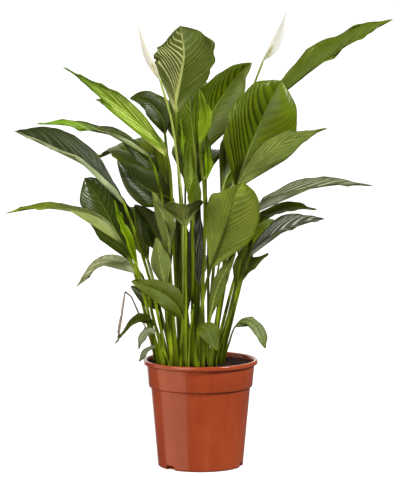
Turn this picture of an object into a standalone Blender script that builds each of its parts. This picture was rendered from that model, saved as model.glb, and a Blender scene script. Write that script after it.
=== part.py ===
"""Potted peace lily: a plastic nursery pot filled with peat, about fifty leaves and two flower stalks.

Every leaf is one closed solid, blade and stalk grown as one. Its stalk stands in a plain hole in the peat.
Lengths are in metres, except in the two tables of the plant, which are in millimetres.
"""

import math
import random

import bmesh
import bpy
from mathutils import Matrix, Vector

MM = 0.001

POT_HEIGHT = 0.160
RIM_RADIUS = 0.085
LIP_HEIGHT = 0.007
COLLAR_TOP_RADIUS = 0.0805
COLLAR_FOOT_RADIUS = 0.0775
COLLAR_FOOT_HEIGHT = 0.120
BODY_TOP_RADIUS = 0.0745
BASE_RADIUS = 0.0635
WALL = 0.0014
FLOOR_THICKNESS = 0.002
EDGE = 0.0012
TURNING_MERGE = 0.0001
DRAIN_COUNT = 3
DRAIN_WIDTH = 0.017
DRAIN_HEIGHT = 0.006
DRAIN_DEPTH = 0.014
DRAIN_START = -135.0
POT_STEPS = 40

SOIL_TOP = 0.1545
SOIL_GAP = 0.0005
SOIL_EASE = 0.0003
SOIL_BUMP = 0.0014
SOIL_MOUND = 0.003
SOIL_EDGE_DROP = 0.0025
SOIL_CROWN = 0.001
SOIL_SECTORS = 22
COLLAR_OF_STEM = 0.003
STEM_DEPTH = 0.008
HOLE_GAP = 0.0004
HOLE_SIDES = 6
CUTTER_LENGTH = 0.02

BLADE_THICKNESS = 0.0007
BLADE_TIP_WIDTH = 0.0012
STALK_RADIUS_AT_SOIL = 0.0035
STALK_RADIUS_AT_BLADE = 0.0021
STALK_SPLAY = 0.45
STALK_BOW = 0.04
BLADE_COLUMNS = (-1.0, -0.5, 0.0, 0.5, 1.0)

FLOWER_STALK_RADIUS = 0.0019
SPATHE_TIP_WIDTH = 0.0009
SPADIX_RISE = 0.001
SPATHE_FOLD = math.radians(50)
SPADIX_RADIUS = 0.0020
SPADIX_LENGTH = 0.022
SPADIX_OFFSET = 0.0052
SEAT_GAP = 0.0004

# One row a leaf, in millimetres: its foot on the peat (x, y), the points its midrib passes on the way to the
# tip, which of them the blade starts at, the blade's half width, the way its upper face looks near the base
# and near the tip, how far its halves fold up from flat in degrees, the height and number of its edge waves.
LEAVES = {
    # the tall middle
    "leaf_top": ((-18, -12), ((-36, -28, 530), (-30, -34, 578), (-24, -38, 616), (-30, -28, 658)),
                 0, 46, (0.1, 1, 0.1), (0.1, 1, 0.5), 18, 3.5, 3.5),
    "leaf_top_right": ((5, 0), ((-3, 8, 462), (14, 12, 520), (41, 14, 563), (61, 10, 589), (77, 2, 602)),
                       0, 38, (0.2, -1, 0.2), (0.3, -1, 0.5), 22, 2, 2),
    "leaf_young_bright": ((0, -24), ((7, -44, 392), (2, -46, 444), (-1, -48, 486), (10, -52, 521),
                                     (-1, -54, 566)),
                          2, 13, (-0.6, -0.8, 0.2), (-0.6, -0.8, 0.2), 25, 0.5, 1),
    "leaf_young_small": ((12, -24), ((11, -32, 378), (8, -34, 431), (10, -36, 463), (7, -35, 502)),
                         1, 8, (0.5, -0.9, 0.1), (0.5, -0.9, 0.1), 30, 0.5, 1),
    "leaf_right_big": ((18, -12), ((53, -20, 416), (65, -24, 459), (82, -28, 501), (101, -32, 545),
                                   (119, -26, 578)),
                       0, 56, (0.45, -1, 0.1), (0.4, -1, 0.3), 14, 2.5, 2.5),
    "leaf_right_front": ((15, -36), ((55, -56, 422), (73, -62, 450), (99, -66, 474), (131, -68, 493),
                                     (186, -64, 510)),
                         0, 30, (0.1, -0.75, 0.65), (0.1, -0.6, 0.8), -12, 2, 2),
    "leaf_front_pale": ((-8, -36), ((5, -54, 270), (15, -60, 303), (30, -70, 345), (43, -80, 386),
                                    (51, -84, 414),
                                    (62, -70, 432)),
                        1, 47, (0.25, 1, 0.3), (1.2, 1, 0.3), 10, 2, 2),
    # the right side
    "leaf_right_long": ((27, -9), ((81, -18, 382), (106, -20, 402), (147, -24, 415), (206, -28, 424),
                                   (256, -30, 421)),
                        0, 21, (0, -0.45, 0.9), (0, -0.45, 0.9), 28, 2, 3),
    "leaf_right_high": ((17, 1), ((85, 8, 527), (125, 8, 560), (177, 6, 600), (228, 2, 635), (285, -4, 666)),
                        0, 29, (-0.2, -0.5, 0.8), (-0.2, -0.5, 0.8), 30, 5, 4),
    "leaf_right_small": ((27, 3), ((77, 0, 358), (103, -2, 377), (140, -4, 386), (173, -8, 384)),
                         0, 14, (0, -0.5, 0.85), (0, -0.5, 0.85), 20, 1.5, 2),
    "leaf_right_dark": ((21, -24), ((73, -42, 320), (91, -46, 340), (125, -50, 358), (158, -52, 370),
                                    (183, -52, 375)),
                        0, 26, (-0.1, -0.4, 0.9), (0, -0.4, 0.9), 30, 2, 2),
    "leaf_right_tiny": ((33, -16), ((62, -24, 286), (73, -26, 301), (101, -30, 322)),
                        0, 9, (-0.3, -0.8, 0.5), (-0.3, -0.8, 0.5), 15, 1, 1),
    "leaf_right_shaded": ((32, 14), ((53, 22, 264), (64, 26, 303), (77, 26, 339)),
                          0, 14, (0.2, -1, 0.2), (0.2, -1, 0.2), 15, 1, 1),
    # the left side
    "leaf_left_high": ((-30, -12), ((-48, -22, 463), (-76, -30, 500), (-108, -36, 530), (-148, -38, 562),
                                    (-203, -34, 598)),
                       0, 25, (-0.3, -1, 0.4), (0, -0.7, 0.7), 15, 3.5, 3),
    "leaf_left_high_back": ((-46, 30), ((-72, 50, 483), (-104, 46, 513), (-134, 40, 534), (-157, 36, 545)),
                            0, 14, (0, -0.6, 0.8), (0, -0.6, 0.8), 20, 1.5, 2),
    "leaf_left_shaded_high": ((-24, 22), ((-53, 44, 493), (-60, 46, 522), (-83, 46, 543), (-106, 42, 546)),
                              0, 22, (0.2, -1, 0.3), (0.2, -1, 0.6), 18, 2, 2),
    "leaf_left_long": ((-42, -12), ((-61, -24, 433), (-77, -28, 466), (-111, -30, 492), (-155, -32, 503),
                                    (-199, -32, 512), (-242, -34, 513)),
                       1, 15, (0, -0.3, 0.95), (0, -0.4, 0.9), 18, 2, 2.5),
    "leaf_left_dark_long": ((-48, -35), ((-76, -48, 291), (-112, -56, 398), (-137, -58, 428),
                                         (-169, -58, 455),
                                         (-220, -56, 480), (-273, -50, 504)),
                            1, 34, (0.1, -0.35, 0.9), (0, -0.45, 0.9), 36, 3, 2.5),
    "leaf_left_low_long": ((-60, -24), ((-92, -34, 290), (-116, -38, 338), (-141, -40, 369), (-185, -40, 385),
                                        (-236, -38, 390), (-289, -34, 381)),
                           1, 15, (0, -0.2, 1), (0, -0.3, 1), 15, 2, 2.5),
    "leaf_left_glossy": ((-67, 8), ((-103, 8, 306), (-126, 4, 351), (-146, 0, 391), (-172, -2, 432)),
                         0, 38, (0.75, -1, 0.2), (0.7, -1, 0.3), 8, 2.5, 2),
    "leaf_left_inner": ((-31, 0), ((-38, 8, 386), (-60, 8, 403), (-90, 8, 422), (-124, 8, 457)),
                        0, 30, (0.1, -1, 0.4), (0.1, -1, 0.4), 15, 2, 2),
    "leaf_left_narrow_back": ((-36, 22), ((-63, 32, 425), (-83, 30, 455), (-117, 26, 484)),
                              0, 13, (0.2, -1, 0.4), (0.2, -1, 0.4), 15, 1, 2),
    "leaf_left_rolled": ((-61, -36), ((-93, -56, 305), (-108, -66, 347), (-121, -72, 382), (-126, -74, 406)),
                         0, 9, (0.7, -0.7, 0.1), (0.7, -0.7, 0.1), 35, 1, 2),
    "leaf_left_drooping": ((-56, 0), ((-87, -19, 289), (-119, -22, 309), (-151, -25, 303), (-183, -24, 271)),
                           0, 13, (0.1, -0.5, 0.85), (-0.4, -0.5, 0.6), 18, 1, 2),
    "leaf_left_front": ((-42, -46), ((-52, -62, 274), (-58, -66, 304), (-65, -66, 350)),
                        0, 15, (0.1, 1, 0.2), (0.1, 1, 0.2), 15, 1, 1),
    "leaf_low_front": ((-30, -48), ((-26, -62, 226), (-37, -74, 252), (-62, -78, 272), (-102, -80, 287)),
                       0, 19, (0.3, -1, 0.3), (0.3, -1, 0.3), 10, 1.5, 2),
    "leaf_low_shaded": ((-56, 12), ((-60, 4, 232), (-77, 0, 250), (-104, -2, 270)),
                        0, 13, (0.2, -1, 0.2), (0.2, -1, 0.2), 15, 1, 1),
    "leaf_low_folded": ((-55, -45), ((-66, -52, 217), (-90, -59, 229), (-108, -61, 214), (-126, -60, 191)),
                        0, 10, (0, -1, 0.4), (0, -1, 0.4), 35, 1, 1),
    "leaf_low_folded_small": ((-46, -55), ((-64, -63, 208), (-74, -67, 212), (-85, -70, 202),
                                           (-90, -72, 185)),
                              0, 7, (0, -0.8, 0.6), (-0.5, -0.8, 0.2), 30, 0.5, 1),
    "leaf_over_rim": ((-54, -13), ((-53, -14, 172), (-63, -14, 179), (-79, -15, 174), (-91, -18, 158)),
                      0, 6.5, (0, -0.5, 1), (-0.5, -0.5, 0.5), 20, 0.5, 1),
    "leaf_low_right": ((36, 25), ((42, 22, 178), (51, 20, 205), (62, 18, 214), (76, 16, 212),
                                  (88, 12, 198), (97, 8, 174)),
                       1, 10, (0.1, -0.9, 0.6), (0.5, -0.9, 0.2), 12, 0.5, 1),
    "leaf_low_middle": ((-4, -48), ((-2, -62, 214), (10, -76, 214), (25, -84, 184)),
                        0, 16, (0.3, -0.9, 0.4), (0.5, -0.9, 0.1), 8, 0.5, 1),
    "leaf_bud": ((-17, -47), ((-13, -54, 222), (-10, -58, 250)),
                 0, 4, (-0.6, -0.8, 0), (-0.6, -0.8, 0), 40, 0, 1),
    # the middle of the clump
    "leaf_spear": ((-19, 0), ((-24, -2, 452), (-29, -2, 521)),
                   0, 3, (0, -1, 0), (0, -1, 0), 40, 0, 1),
    "leaf_middle_upright": ((-7, 0), ((-13, -12, 394), (-16, -14, 436), (-17, -18, 494)),
                            0, 9, (-0.3, -1, 0), (-0.3, -1, 0), 25, 0.5, 1),
    "leaf_middle_front": ((-12, -24), ((-11, -42, 378), (-10, -46, 408), (-7, -46, 442)),
                          0, 11, (0.4, -1, 0.2), (0.4, -1, 0.2), 20, 0.5, 1),
    "leaf_middle_facing": ((-23, -35), ((-22, -58, 364), (-22, -80, 384), (-20, -118, 402)),
                           0, 34, (-0.15, 0.2, 1), (-0.1, 0.1, 1), 30, 1, 1),
    "leaf_middle_pale": ((-36, -36), ((-46, -48, 322), (-49, -52, 361), (-71, -56, 416)),
                         0, 14, (0.3, 1, 0.1), (0.3, 1, 0.1), 15, 1, 1),
    "leaf_middle_dark": ((-6, -12), ((-2, -18, 272), (-7, -20, 331), (-5, -24, 395)),
                         0, 15, (0.2, -1, 0.1), (0.2, -1, 0.1), 20, 0.5, 1),
    "leaf_inner_left_dark": ((-40, 12), ((-52, 20, 312), (-72, 20, 354), (-99, 18, 390)),
                             0, 24, (0.2, -1, 0.3), (0.2, -1, 0.3), 15, 1.5, 2),
    "leaf_inner_left_narrow": ((-43, 0), ((-45, 4, 299), (-57, 4, 380)),
                               0, 10, (0.2, -1, 0.1), (0.2, -1, 0.1), 15, 0.5, 1),
    "leaf_inner_dark": ((-14, 12), ((-20, 13, 230), (-24, 14, 307), (-31, 14, 384)),
                        0, 17, (0.1, -1, 0.1), (0.1, -1, 0.1), 15, 0.5, 1),
    "leaf_inner_right": ((3, -36), ((14, -46, 229), (26, -54, 276), (52, -57, 328)),
                         0, 11, (0.1, 1, 0.2), (0.1, 1, 0.2), 15, 0.5, 1),
    # the back
    "leaf_back_left": ((-30, 34), ((-48, 78, 400), (-78, 120, 440), (-120, 170, 458), (-165, 210, 440)),
                       0, 40, (-0.4, 0, 1), (-0.7, 0.4, 0.6), 18, 3, 2),
    "leaf_back_right": ((8, 36), ((32, 80, 400), (60, 120, 450), (100, 165, 480), (150, 210, 480)),
                        0, 42, (0.3, 0, 1), (0.5, 0.4, 0.8), 18, 3, 2),
    "leaf_back_middle": ((-11, 36), ((-14, 96, 400), (-10, 140, 440), (0, 190, 450), (8, 250, 425)),
                         0, 40, (0.2, -0.4, 1), (0, 0.4, 1), 18, 3, 2),
    "leaf_back_low_left": ((-46, 43), ((-80, 80, 300), (-105, 110, 345), (-132, 145, 362), (-160, 180, 345)),
                           0, 32, (0, -0.2, 1), (-0.5, 0.3, 0.8), 20, 2.5, 2),
    "leaf_back_low_right": ((22, 38), ((60, 86, 300), (76, 120, 342), (92, 150, 352), (114, 182, 338)),
                            0, 32, (0, -0.2, 1), (0.5, 0.3, 0.8), 20, 2.5, 2),
    "leaf_back_high": ((-5, 22), ((-6, 58, 430), (-12, 66, 500), (-20, 82, 570), (-34, 106, 612)),
                       0, 40, (0.1, -1, 0.3), (0.1, -1, 0.6), 18, 2.5, 2),
    "leaf_back_high_right": ((21, 13), ((52, 62, 440), (64, 84, 490), (80, 110, 530), (104, 140, 552)),
                             0, 36, (0, -1, 0.6), (0.2, -0.6, 0.9), 18, 2.5, 2),
    "leaf_back_lowest": ((-8, 50), ((-8, 86, 250), (-10, 120, 282), (-20, 165, 290), (-30, 205, 262)),
                         0, 26, (0, -0.3, 1), (0, 0.5, 0.9), 20, 2, 2),
    # one leaf that has died: a thin dry stalk with its shrivelled blade hanging from the top
    "leaf_withered": ((-70, 16), ((-104, -4, 262), (-107, -6, 278), (-112, -8, 262), (-116, -10, 232),
                                  (-122, -12, 186)),
                      2, 2.5, (-1, -0.3, 0), (-1, -0.3, 0), 30, 0.5, 2),
}
# How a blade's width rises from its base and falls to its tip, as powers: the higher, the slimmer that end.
USUAL_OUTLINE = (0.75, 1.05)
OUTLINES = {"leaf_top": (0.95, 0.57), "leaf_left_high": (0.55, 1.7), "leaf_low_folded": (0.6, 2.2),
            "leaf_low_right": (1.0, 0.8), "leaf_low_middle": (0.6, 1.0), "leaf_over_rim": (0.7, 0.8),
            "leaf_front_pale": (0.95, 0.5), "leaf_right_high": (0.5, 0.8),
            "leaf_right_long": (0.8, 1.6), "leaf_left_dark_long": (1.0, 0.8), "leaf_right_big": (0.75, 0.65),
            "leaf_right_front": (1.05, 1.75), "leaf_left_glossy": (0.75, 0.55)}
SPATHE_OUTLINE = (0.8, 1.3)
YOUNG_LEAVES = ("leaf_young_bright", "leaf_young_small", "leaf_left_rolled", "leaf_spear", "leaf_bud")
DRY_LEAVES = ("leaf_withered",)
# How thin a stalk is beside the usual one.
THIN_STALKS = {"leaf_withered": 0.55, "leaf_low_right": 0.6, "leaf_spear": 0.7, "leaf_over_rim": 0.7,
               "leaf_bud": 0.8, "leaf_low_folded_small": 0.6, "leaf_young_small": 0.8}

# One row a flower, in millimetres: the stalk's foot, the points it passes, and the spathe's points from the
# stalk's end to its tip, with the spathe's half width and the way its open side looks.
FLOWERS = {
    "flower_left": ((-24, -23), ((-27, -44, 401), (-33, -50, 453), (-43, -56, 523), (-59, -60, 580)),
                    ((-66, -62, 598), (-76, -64, 618), (-91, -66, 660)), 9, (-0.5, -0.9, 0.2)),
    "flower_right": ((6, 24), ((59, 44, 471), (78, 50, 560), (94, 50, 603)),
                     ((100, 50, 617), (110, 49, 638), (128, 47, 676)), 14, (0.6, -0.8, -0.2)),
}


def clear_scene():
    """Removes the objects of the scene that is open, and their unused collections."""
    for obj in list(bpy.data.objects):
        bpy.data.objects.remove(obj, do_unlink=True)
    for collection in list(bpy.data.collections):
        bpy.data.collections.remove(collection)


def new_collection(name, helpers=False):
    """A collection in the scene. One for helpers isn't rendered."""
    collection = bpy.data.collections.new(name)
    collection.hide_render = helpers
    bpy.context.scene.collection.children.link(collection)
    return collection


def material(name, colour, roughness, metallic=0.0):
    """A Principled material of one colour."""
    made = bpy.data.materials.new(name)
    made.use_nodes = True
    shader = made.node_tree.nodes["Principled BSDF"]
    shader.inputs["Base Color"].default_value = (*colour, 1.0)
    shader.inputs["Roughness"].default_value = roughness
    shader.inputs["Metallic"].default_value = metallic
    return made


def object_of(name, bm, collection, finish=None):
    """The bmesh as a smooth-shaded object of that name."""
    mesh = bpy.data.meshes.new(name)
    bm.to_mesh(mesh)
    bm.free()
    for face in mesh.polygons:
        face.use_smooth = True
    obj = bpy.data.objects.new(name, mesh)
    collection.objects.link(obj)
    if finish:
        mesh.materials.append(finish)
    return obj


def smooth_path(points, steps):
    """Points on a Catmull-Rom curve through the given ones, with that many steps in each span."""
    ends = [2 * points[0] - points[1], *points, 2 * points[-1] - points[-2]]
    path = []
    for before, start, end, after, count in zip(ends, ends[1:], ends[2:], ends[3:], steps):
        for step in range(count):
            t = step / count
            path.append(
                0.5
                * (
                    2 * start
                    + (end - before) * t
                    + (2 * before - 5 * start + 4 * end - after) * t**2
                    + (3 * start - before - 3 * end + after) * t**3
                )
            )
    return [*path, points[-1]]


def at_share(path, share):
    """The point that share of the way along a path, by its length."""
    lengths = [(b - a).length for a, b in zip(path, path[1:])]
    left = share * sum(lengths)
    for start, end, length in zip(path, path[1:], lengths):
        if left <= length:
            return start.lerp(end, left / length)
        left -= length
    return path[-1]


def across(direction, along):
    """The unit vector nearest to direction that is square to along."""
    return (direction - direction.project(along)).normalized()


def tangents(path):
    """The direction of travel at each point of a path."""
    ahead = [*path[1:], 2 * path[-1] - path[-2]]
    behind = [2 * path[0] - path[1], *path[:-1]]
    return [(b - a).normalized() for a, b in zip(behind, ahead)]


def ring(bm, centre, along, face, width, radius, flatness, fold, lift):
    """Ten vertices round a leaf: five over its upper face and five back under it.

    A stalk's ring is a circle of the radius (flatness 0) and a blade's is a folded strip (flatness 1).
    lift is how far the left and the right edge are raised by the waves.
    """
    side = along.cross(face)
    half = BLADE_THICKNESS / 2
    made = {}
    for column, share in enumerate(BLADE_COLUMNS):
        angle = math.radians(162 - 36 * column)
        raised = abs(share) * width * math.sin(fold) + share**2 * lift[share > 0]
        bow = 0.10 * width * (1 - (2 * abs(share) - 1) ** 2) if share else 0
        blade = side * share * width * math.cos(fold) + face * (raised + bow)
        keel = radius * 1.2 if column == 2 else 0
        for top in (True, False):
            turn = angle if top else -angle
            round_stalk = side * radius * math.cos(turn) + face * radius * math.sin(turn)
            flat = blade + face * (half if top else -half - keel)
            made[column, top] = bm.verts.new(centre + round_stalk.lerp(flat, flatness))
    return [made[column, True] for column in range(5)] + [made[column, False] for column in range(4, -1, -1)]


def blade_spread(share, outline):
    """How wide a blade is at that share of its length, beside its widest place."""
    rise, fall = outline
    widest = rise / (rise + fall)
    return (share / widest) ** rise * ((1 - share) / (1 - widest)) ** fall


def skin(bm, rings):
    """Closed surface over the rings, each cell split along the same diagonal on both faces of the blade."""
    for low, high in zip(rings, rings[1:]):
        for j in range(len(low)):
            k = (j + 1) % len(low)
            if j < len(BLADE_COLUMNS):
                bm.faces.new((low[j], low[k], high[k]))
                bm.faces.new((low[j], high[k], high[j]))
            else:
                bm.faces.new((low[j], low[k], high[j]))
                bm.faces.new((low[k], high[k], high[j]))
    bm.faces.new(rings[0][::-1])
    bm.faces.new(rings[-1])
    bmesh.ops.triangulate(bm, faces=[face for face in bm.faces if len(face.verts) > 4])
    bmesh.ops.recalc_face_normals(bm, faces=bm.faces)


def leaf(name, row, collection, finish):
    """One leaf, its stalk and blade grown as one solid from below the peat to the tip."""
    foot, midrib, first, half_width, face, tip_face, fold, wave, waves = row
    thin = THIN_STALKS.get(name, 1.0)
    points = [Vector(point) * MM for point in midrib]
    ground = Vector((foot[0] * MM, foot[1] * MM, SOIL_TOP + COLLAR_OF_STEM))
    rise = points[0].z - ground.z
    knee = ground.lerp(points[0], STALK_SPLAY) + Vector((0, 0, STALK_BOW * rise))
    stalk_points = [ground, knee, *points[: first + 1]] if rise > 0.05 else [ground, *points[: first + 1]]
    whole = smooth_path([*stalk_points, *points[first + 1:]], [8] * 20)
    blade_start = 8 * (len(stalk_points) - 1)
    stalk = whole[: blade_start + 1]
    blade = whole[blade_start:]
    below = Vector((ground.x, ground.y, SOIL_TOP - STEM_DEPTH))

    stalk_length = sum((b - a).length for a, b in zip(stalk, stalk[1:]))
    blade_length = sum((b - a).length for a, b in zip(blade, blade[1:]))
    stalk_rings = max(2, min(6, round(stalk_length / 0.062)))
    blade_rings = max(6, min(12, round(blade_length / 0.021)))
    stalk_shares = [i / stalk_rings for i in range(stalk_rings)]
    blade_shares = [i / blade_rings for i in range(blade_rings + 1)]
    blade_shares.insert(1, 0.35 / blade_rings)
    centres = [below] + [at_share(stalk, share) for share in stalk_shares]
    centres += [at_share(blade, share) for share in blade_shares]
    along = tangents(centres)
    along[0] = Vector((0, 0, 1))
    along[1] = (along[1] + Vector((0, 0, 3))).normalized()

    start = len(stalk_shares) + 1
    base_face, end_face = Vector(face), Vector(tip_face)
    faces = [None] * len(centres)
    for i, share in enumerate(blade_shares):
        faces[start + i] = across(base_face.lerp(end_face, share), along[start + i])
    for i in range(start - 1, -1, -1):
        faces[i] = across(faces[i + 1], along[i])

    bm = bmesh.new()
    rings = []
    for i, centre in enumerate(centres):
        if i < start:
            share = max(0, i - 1) / stalk_rings
            radius = STALK_RADIUS_AT_SOIL + (STALK_RADIUS_AT_BLADE - STALK_RADIUS_AT_SOIL) * share
            rings.append(ring(bm, centre, along[i], faces[i], 0, radius * thin, 0, 0, (0, 0)))
            continue
        share = blade_shares[i - start]
        spread = blade_spread(share, OUTLINES.get(name, USUAL_OUTLINE))
        width = max(half_width * MM * spread, BLADE_TIP_WIDTH)
        lift = [
            wave * MM * spread * math.sin(2 * math.pi * waves * share + phase) for phase in (0.6, 2.9)
        ]
        flatness = min(1.0, share * blade_rings / 0.7)
        radius = STALK_RADIUS_AT_BLADE * thin * (1 - 0.85 * share)
        rings.append(ring(bm, centre, along[i], faces[i], width, radius, flatness, math.radians(fold), lift))
    skin(bm, rings)
    return object_of(name, bm, collection, finish)


def flower(name, row, collection, stalk_finish, spathe_finish, spadix_finish):
    """One bloom: a round stalk, the white spathe that wraps its end, and the spadix inside the spathe."""
    foot, stalk, spathe, half_width, opening = row
    ground = Vector((foot[0] * MM, foot[1] * MM, SOIL_TOP + COLLAR_OF_STEM))
    below = Vector((ground.x, ground.y, SOIL_TOP - STEM_DEPTH))
    stalk_points = [Vector(point) * MM for point in stalk]
    rise = stalk_points[0].z - ground.z
    knee = ground.lerp(stalk_points[0], STALK_SPLAY) + Vector((0, 0, STALK_BOW * rise))
    path = [below, *smooth_path([ground, knee, *stalk_points], [2, 2, 1, 1, 1, 1])]
    curve = bpy.data.curves.new(name + "_stalk", "CURVE")
    curve.dimensions = "3D"
    curve.bevel_depth = FLOWER_STALK_RADIUS
    curve.bevel_resolution = 0
    curve.use_fill_caps = True
    spline = curve.splines.new("POLY")
    spline.points.add(len(path) - 1)
    for point, place in zip(spline.points, path):
        point.co = (*place, 1.0)
    curve.materials.append(stalk_finish)
    guide = bpy.data.objects.new(name + "_stalk", curve)
    collection.objects.link(guide)

    spathe_points = [Vector(point) * MM for point in spathe]
    end = stalk_points[-1]
    ahead = (spathe_points[0] - end).normalized()
    line = smooth_path([end + ahead * SEAT_GAP, *spathe_points], [6] * 4)
    shares = [0, 0.06, 0.14, 0.24, 0.35, 0.47, 0.6, 0.73, 0.86, 1]
    centres = [at_share(line, share) for share in shares]
    along = tangents(centres)
    bm = bmesh.new()
    rings = []
    for centre, direction, share in zip(centres, along, shares):
        spread = blade_spread(share, SPATHE_OUTLINE)
        width = max(half_width * MM * spread, SPATHE_TIP_WIDTH)
        radius = FLOWER_STALK_RADIUS * (1 - share) ** 2
        face = across(Vector(opening), direction)
        rings.append(
            ring(bm, centre, direction, face, width, radius, min(1, share / 0.06), SPATHE_FOLD, (0, 0))
        )
    skin(bm, rings)
    object_of(name + "_spathe", bm, collection, spathe_finish)

    axis = (centres[4] - centres[1]).normalized()
    face = across(Vector(opening), axis)
    bm = bmesh.new()
    bmesh.ops.create_uvsphere(bm, u_segments=8, v_segments=7, radius=1)
    bmesh.ops.scale(bm, vec=(SPADIX_RADIUS, SPADIX_RADIUS, SPADIX_LENGTH / 2), verts=bm.verts)
    turn = Vector((0, 0, 1)).rotation_difference(axis).to_matrix()
    bmesh.ops.rotate(bm, matrix=turn, verts=bm.verts)
    centre = centres[1] + axis * (SPADIX_LENGTH / 2 + SPADIX_RISE) + face * SPADIX_OFFSET
    bmesh.ops.translate(bm, vec=centre, verts=bm.verts)
    object_of(name + "_spadix", bm, collection, spadix_finish)


def pot(collection, helpers, finish):
    """The pot: one turned wall with a rolled lip, a stepped collar and a flat floor, notched at its foot."""
    outer = [
        (RIM_RADIUS - EDGE, POT_HEIGHT),
        (RIM_RADIUS, POT_HEIGHT - EDGE),
        (RIM_RADIUS, POT_HEIGHT - LIP_HEIGHT + EDGE),
        (RIM_RADIUS - EDGE, POT_HEIGHT - LIP_HEIGHT),
        (COLLAR_TOP_RADIUS, POT_HEIGHT - LIP_HEIGHT - EDGE / 3),
        (COLLAR_FOOT_RADIUS, COLLAR_FOOT_HEIGHT + EDGE),
        (COLLAR_FOOT_RADIUS - EDGE / 2, COLLAR_FOOT_HEIGHT),
        (BODY_TOP_RADIUS, COLLAR_FOOT_HEIGHT - EDGE),
        (BASE_RADIUS, EDGE),
        (BASE_RADIUS - EDGE / 2, 0.0),
        (0.0, 0.0),
    ]
    inner = [
        (0.0, FLOOR_THICKNESS),
        (BASE_RADIUS - WALL - EDGE, FLOOR_THICKNESS),
        (BODY_TOP_RADIUS - WALL, COLLAR_FOOT_HEIGHT - EDGE / 2),
        (COLLAR_FOOT_RADIUS - WALL, COLLAR_FOOT_HEIGHT + EDGE),
        (COLLAR_TOP_RADIUS - WALL, POT_HEIGHT - LIP_HEIGHT),
        (COLLAR_TOP_RADIUS - WALL + EDGE / 3, POT_HEIGHT - EDGE * 2 / 3),
        (COLLAR_TOP_RADIUS - WALL + EDGE, POT_HEIGHT),
    ]
    mesh = bpy.data.meshes.new("pot")
    profile = outer + inner
    edges = [(i, (i + 1) % len(profile)) for i in range(len(profile))]
    mesh.from_pydata([(radius, 0, height) for radius, height in profile], edges, [])
    body = bpy.data.objects.new("pot", mesh)
    collection.objects.link(body)
    mesh.materials.append(finish)
    turned = body.modifiers.new("turned wall", "SCREW")
    turned.steps = turned.render_steps = POT_STEPS
    turned.use_merge_vertices = True
    turned.merge_threshold = TURNING_MERGE
    turned.use_smooth_shade = True

    bm = bmesh.new()
    for k in range(DRAIN_COUNT):
        made = bmesh.ops.create_cube(bm, size=1)["verts"]
        bmesh.ops.scale(bm, vec=(DRAIN_DEPTH, DRAIN_WIDTH, 2 * DRAIN_HEIGHT), verts=made)
        bmesh.ops.translate(bm, vec=(BASE_RADIUS, 0, 0), verts=made)
        angle = math.radians(DRAIN_START) + 2 * math.pi * k / DRAIN_COUNT
        bmesh.ops.rotate(bm, matrix=Matrix.Rotation(angle, 3, "Z"), verts=made)
    cutter = object_of("drain_cutter", bm, helpers)
    cutter.display_type = "WIRE"
    cutter.hide_render = True
    drains = body.modifiers.new("drain notches", "BOOLEAN")
    drains.operation = "DIFFERENCE"
    drains.solver = "EXACT"
    drains.object = cutter
    return body


def soil(feet, collection, helpers, finish):
    """The peat: a plug that fills the pot, crumbly and a little mounded, with a plain hole for each stem."""
    gap = WALL + SOIL_GAP
    side = [
        (BASE_RADIUS - gap - EDGE - SOIL_EASE, FLOOR_THICKNESS + SOIL_GAP),
        (BODY_TOP_RADIUS - gap - SOIL_EASE, COLLAR_FOOT_HEIGHT - EDGE / 2),
        (COLLAR_FOOT_RADIUS - gap - SOIL_EASE, COLLAR_FOOT_HEIGHT + EDGE * 4 / 3),
    ]
    level = SOIL_TOP - SOIL_EDGE_DROP
    top_share = (level - COLLAR_FOOT_HEIGHT) / (POT_HEIGHT - LIP_HEIGHT - COLLAR_FOOT_HEIGHT)
    top_radius = COLLAR_FOOT_RADIUS + (COLLAR_TOP_RADIUS - COLLAR_FOOT_RADIUS) * top_share - gap - SOIL_EASE
    side.append((top_radius, level))
    draw = random.Random(7)
    rows = []
    bm = bmesh.new()
    for radius, height in side:
        rows.append([(radius, height)] * SOIL_SECTORS)
    for share in (0.86, 0.66, 0.44, 0.22):
        mound = SOIL_MOUND * math.cos(share * math.pi / 2)
        rows.append(
            [
                (top_radius * share, level + SOIL_CROWN + mound + draw.uniform(-SOIL_BUMP, SOIL_BUMP))
                for _ in range(SOIL_SECTORS)
            ]
        )
    verts = []
    for row in rows:
        verts.append(
            [
                bm.verts.new((
                    radius * math.cos(2 * math.pi * k / SOIL_SECTORS),
                    radius * math.sin(2 * math.pi * k / SOIL_SECTORS),
                    height,
                ))
                for k, (radius, height) in enumerate(row)
            ]
        )
    for low, high in zip(verts, verts[1:]):
        for k in range(SOIL_SECTORS):
            m = (k + 1) % SOIL_SECTORS
            bm.faces.new((low[k], low[m], high[m], high[k]))
    bm.faces.new(verts[0][::-1])
    centre = bm.verts.new((0, 0, level + SOIL_CROWN + SOIL_MOUND))
    for k in range(SOIL_SECTORS):
        bm.faces.new((verts[-1][k], verts[-1][(k + 1) % SOIL_SECTORS], centre))
    bmesh.ops.triangulate(bm, faces=bm.faces)
    bmesh.ops.recalc_face_normals(bm, faces=bm.faces)
    plug = object_of("soil", bm, collection, finish)

    bm = bmesh.new()
    bottom = SOIL_TOP - STEM_DEPTH - SOIL_GAP
    for x, y, radius in feet:
        made = bmesh.ops.create_cone(
            bm, cap_ends=True, segments=HOLE_SIDES, radius1=radius, radius2=radius, depth=CUTTER_LENGTH
        )["verts"]
        bmesh.ops.translate(bm, vec=(x, y, bottom + CUTTER_LENGTH / 2), verts=made)
    cutter = object_of("stem_cutter", bm, helpers)
    cutter.display_type = "WIRE"
    cutter.hide_render = True
    holes = plug.modifiers.new("stem holes", "BOOLEAN")
    holes.operation = "DIFFERENCE"
    holes.solver = "EXACT"
    holes.object = cutter
    return plug


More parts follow.
